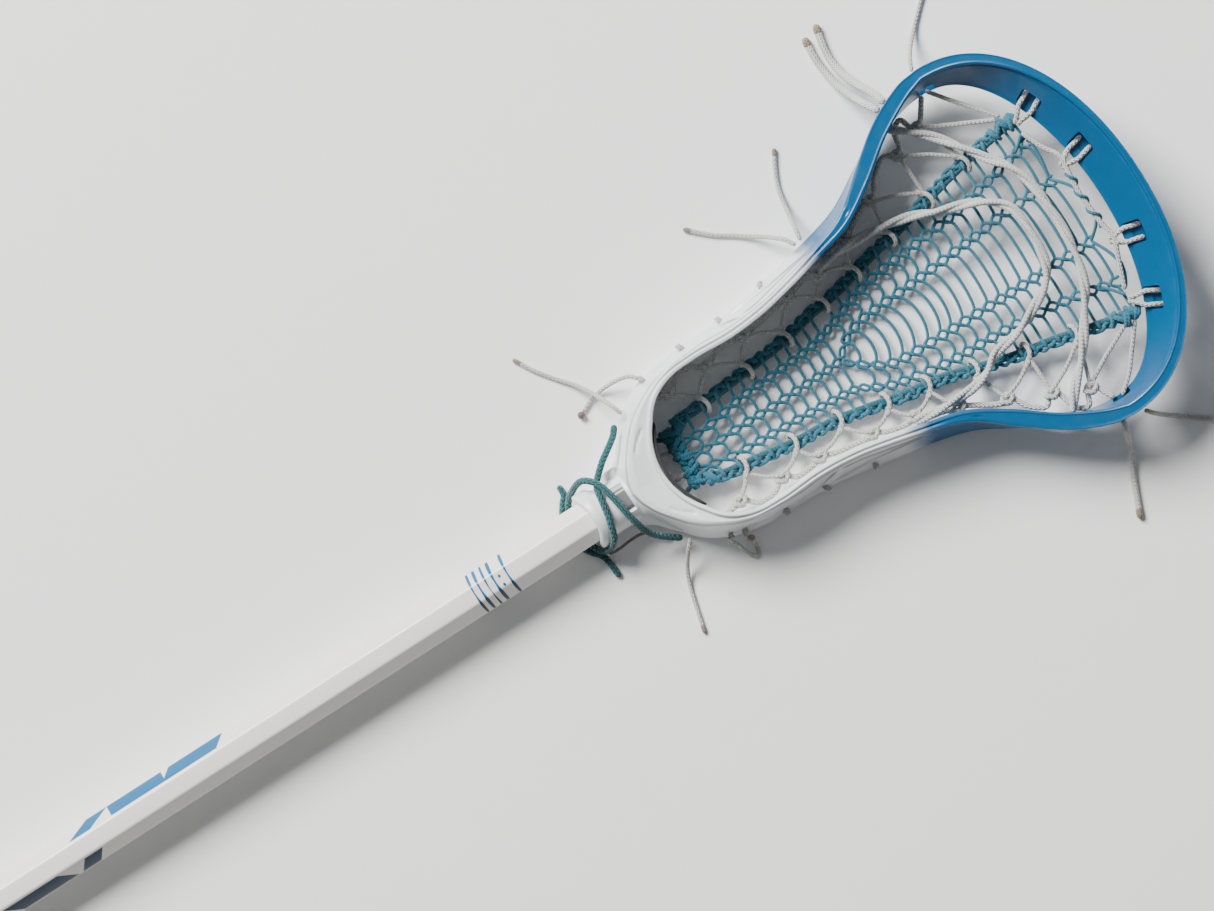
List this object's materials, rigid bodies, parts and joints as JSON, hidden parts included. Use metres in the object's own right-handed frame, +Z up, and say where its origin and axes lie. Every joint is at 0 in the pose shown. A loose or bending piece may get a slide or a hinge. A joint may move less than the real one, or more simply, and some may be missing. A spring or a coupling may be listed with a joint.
{
  "type": "lacrosse stick",
  "caption": "Women's lacrosse stick lying face up: moulded head with woven runner stringing, hollow octagonal shaft, rubber end cap.",
  "frame": {"origin": "on the floor under the middle of the stick's bounding box", "axes": "+X along the shaft from the end cap to the scoop, +Y to the left seen from the butt, +Z up out of the head's face"},
  "size_m": [1.08, 0.3014, 0.049],
  "materials": {
    "head_plastic": "satin moulded nylon, white fading to bright blue at the scoop",
    "stop_foam": "matt closed-cell foam",
    "shaft_paint": "warm white satin paint on aluminium with blue stripes",
    "cap_rubber": "matt moulded rubber",
    "screw_steel": "zinc plated",
    "runner_cord": "braided nylon, teal",
    "white_string": "braided nylon, off-white",
    "shooter_string": "soft knitted polyester, off-white",
    "throat_string": "braided polyester, dark teal",
    "burnt_tip": "melted nylon, brown"
  },
  "bodies": {
    "stick": {"head_frame": "head_plastic", "ball_stop": "stop_foam", "shaft_tube": "shaft_paint", "runner_edge_left": "runner_cord", "runner_edge_right": "runner_cord", "runner_web": "runner_cord", "runner_foot_wrap": "runner_cord", "foot_tie_1": "runner_cord", "foot_tie_4": "runner_cord", "foot_tie_2": "white_string", "foot_tie_3": "white_string", "runner_lacing_left": "white_string", "runner_lacing_right": "white_string", "sidewall_string_left": "white_string", "sidewall_string_right": "white_string", "shooting_string_inner": "shooter_string", "shooting_string_outer": "shooter_string", "scoop_loop_1": "white_string", "scoop_loop_2": "white_string", "scoop_loop_3": "white_string", "scoop_loop_4": "white_string", "top_string": "white_string", "corner_string_left_1": "white_string", "corner_string_left_2": "white_string", "corner_string_right_1": "white_string", "corner_string_right_2": "white_string", "throat_cord": "throat_string", "throat_cord_tie": "throat_string", "collar_string": "burnt_tip", "tail_throat_left": "white_string", "tail_beaded_left": "white_string", "tail_wall_left_back": "white_string", "tail_wall_left_front": "white_string", "tail_shooter_left_1": "shooter_string", "tail_shooter_left_2": "shooter_string", "tail_corner_left": "white_string", "tail_corner_right_back": "shooter_string", "tail_corner_right_front": "white_string", "tail_throat_right": "white_string", "wall_loop_right": "white_string", "wall_loop_bead": "burnt_tip", "tail_bead_left": "burnt_tip"},
    "cap": {"end_cap": "cap_rubber"},
    "screw": {"head_screw": "screw_steel"}
  },
  "joints": [
    {"name": "cap_pull", "type": "slide", "parent": "stick", "child": "cap", "axis": [-1, 0, 0], "range_m": [0, 0.045]},
    {"name": "screw_out", "type": "slide", "parent": "stick", "child": "screw", "axis": [0, 1, 0], "range_m": [0, 0.014]}
  ]
}
